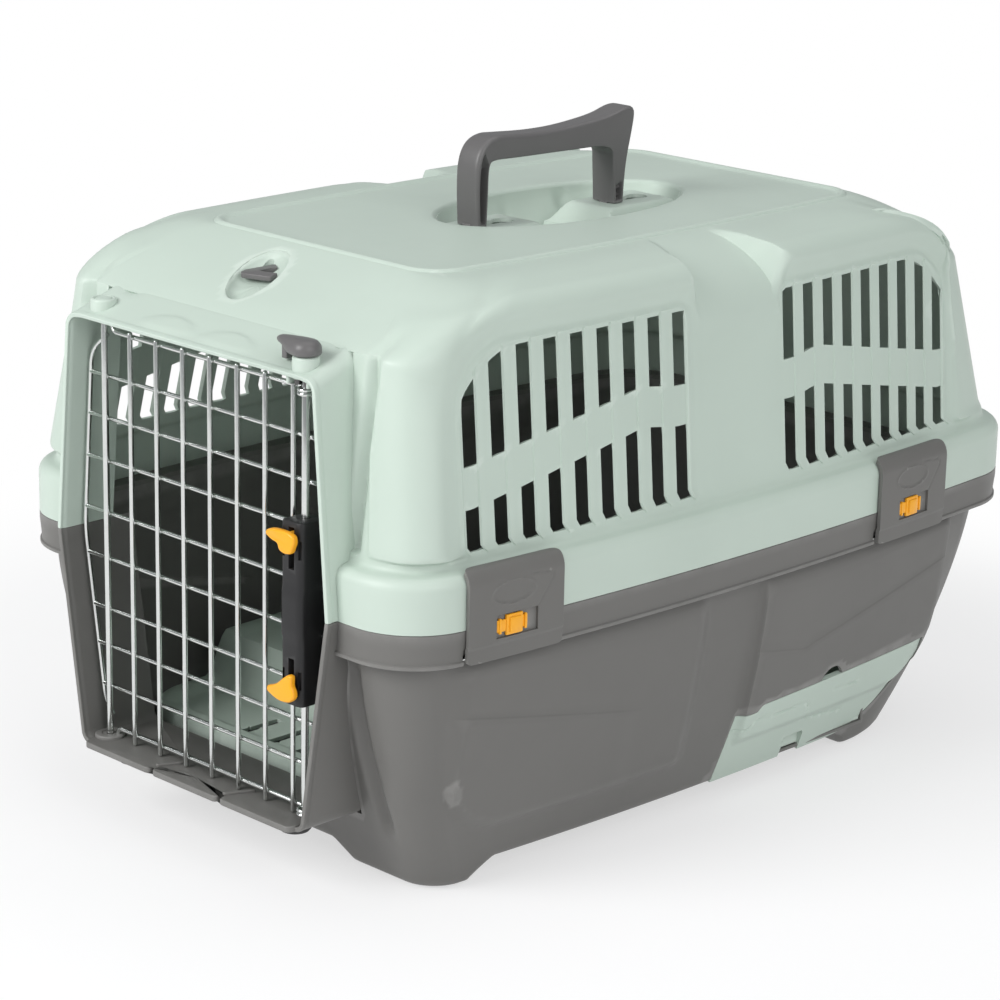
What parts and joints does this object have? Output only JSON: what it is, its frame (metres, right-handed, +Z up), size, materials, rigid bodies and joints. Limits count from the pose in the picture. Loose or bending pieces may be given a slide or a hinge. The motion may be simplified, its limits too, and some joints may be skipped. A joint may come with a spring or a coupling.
{
  "type": "pet carrier",
  "caption": "Two-shell moulded pet carrier with a wire door, sprung bolt latch, side clips, carrying handle, floor tray and side drawer.",
  "frame": {"origin": "on the ground under the middle of the bounding box", "axes": "+Z up, -Y towards the door, +X towards the side with the drawer"},
  "size_m": [0.375, 0.562, 0.4035],
  "materials": {
    "sage_plastic": "fine moulded grain",
    "grey_plastic": "fine moulded grain",
    "charcoal_plastic": "satin moulded",
    "black_plastic": "satin moulded",
    "amber_plastic": "smooth moulded",
    "bright_steel": "bright plated wire",
    "dark_rubber": "matte"
  },
  "bodies": {
    "shells": {"lower_shell": "grey_plastic", "upper_shell": "sage_plastic", "floor_tray": "sage_plastic", "strap_hook": "charcoal_plastic", "sill_foot_left": "dark_rubber", "sill_foot_right": "dark_rubber", "clip_pin_front_right": "bright_steel", "clip_pin_front_left": "bright_steel", "clip_pin_rear_right": "bright_steel", "clip_pin_rear_left": "bright_steel"},
    "door": {"wire_door": "bright_steel", "latch_housing": "black_plastic", "upper_bolt_spring": "bright_steel", "lower_bolt_spring": "bright_steel"},
    "upper_bolt_set": {"upper_bolt": "bright_steel", "upper_latch_tab": "amber_plastic"},
    "lower_bolt_set": {"lower_bolt": "bright_steel", "lower_latch_tab": "amber_plastic"},
    "knob": {"lock_knob": "charcoal_plastic"},
    "handle": {"carry_handle": "charcoal_plastic"},
    "drawer": {"side_drawer": "sage_plastic"},
    "front_right_clip": {"clip_front_right": "grey_plastic"},
    "front_right_lock": {"clip_lock_front_right": "amber_plastic"},
    "front_left_clip": {"clip_front_left": "grey_plastic"},
    "front_left_lock": {"clip_lock_front_left": "amber_plastic"},
    "rear_right_clip": {"clip_rear_right": "grey_plastic"},
    "rear_right_lock": {"clip_lock_rear_right": "amber_plastic"},
    "rear_left_clip": {"clip_rear_left": "grey_plastic"},
    "rear_left_lock": {"clip_lock_rear_left": "amber_plastic"}
  },
  "joints": [
    {"name": "door_swing", "type": "hinge", "parent": "shells", "child": "door", "pos_m": [-0.088, -0.26095, 0.17], "axis": [0, 0, -1], "range_deg": [0, 120]},
    {"name": "upper_bolt_slide", "type": "slide", "parent": "door", "child": "upper_bolt_set", "axis": [0, 0, -1], "range_m": [0, 0.005], "stiffness_N_per_m": 180, "springref_m": -0.01, "deforming": ["upper_bolt_spring"]},
    {"name": "lower_bolt_slide", "type": "slide", "parent": "door", "child": "lower_bolt_set", "axis": [0, 0, 1], "range_m": [0, 0.005], "stiffness_N_per_m": 180, "springref_m": -0.01, "deforming": ["lower_bolt_spring"]},
    {"name": "lock_knob_turn", "type": "hinge", "parent": "shells", "child": "knob", "pos_m": [0.0895, -0.26415, 0.315], "axis": [0, 0, 1], "range_deg": [0, 90]},
    {"name": "handle_release", "type": "slide", "parent": "shells", "child": "handle", "axis": [0, 1, 0], "range_m": [0, 0.026]},
    {"name": "drawer_slide", "type": "slide", "parent": "shells", "child": "drawer", "axis": [1, 0, 0], "range_m": [0, 0.11]},
    {"name": "front_right_clip_swing", "type": "hinge", "parent": "shells", "child": "front_right_clip", "pos_m": [0.17263, -0.19462, 0.1529], "axis": [0.0753, 0.9972, 0], "range_deg": [0, 95]},
    {"name": "front_right_lock_slide", "type": "slide", "parent": "front_right_clip", "child": "front_right_lock", "axis": [0.0753, 0.9972, 0], "range_m": [0, 0.007]},
    {"name": "front_left_clip_swing", "type": "hinge", "parent": "shells", "child": "front_left_clip", "pos_m": [-0.17263, -0.19462, 0.1529], "axis": [0.0753, -0.9972, 0], "range_deg": [0, 95]},
    {"name": "front_left_lock_slide", "type": "slide", "parent": "front_left_clip", "child": "front_left_lock", "axis": [-0.0753, 0.9972, 0], "range_m": [0, 0.007]},
    {"name": "rear_right_clip_swing", "type": "hinge", "parent": "shells", "child": "rear_right_clip", "pos_m": [0.17658, 0.14482, 0.1529], "axis": [-0.0521, 0.9986, 0], "range_deg": [0, 95]},
    {"name": "rear_right_lock_slide", "type": "slide", "parent": "rear_right_clip", "child": "rear_right_lock", "axis": [-0.0521, 0.9986, 0], "range_m": [0, 0.007]},
    {"name": "rear_left_clip_swing", "type": "hinge", "parent": "shells", "child": "rear_left_clip", "pos_m": [-0.17658, 0.14482, 0.1529], "axis": [-0.0521, -0.9986, 0], "range_deg": [0, 95]},
    {"name": "rear_left_lock_slide", "type": "slide", "parent": "rear_left_clip", "child": "rear_left_lock", "axis": [0.0521, 0.9986, 0], "range_m": [0, 0.007]}
  ]
}
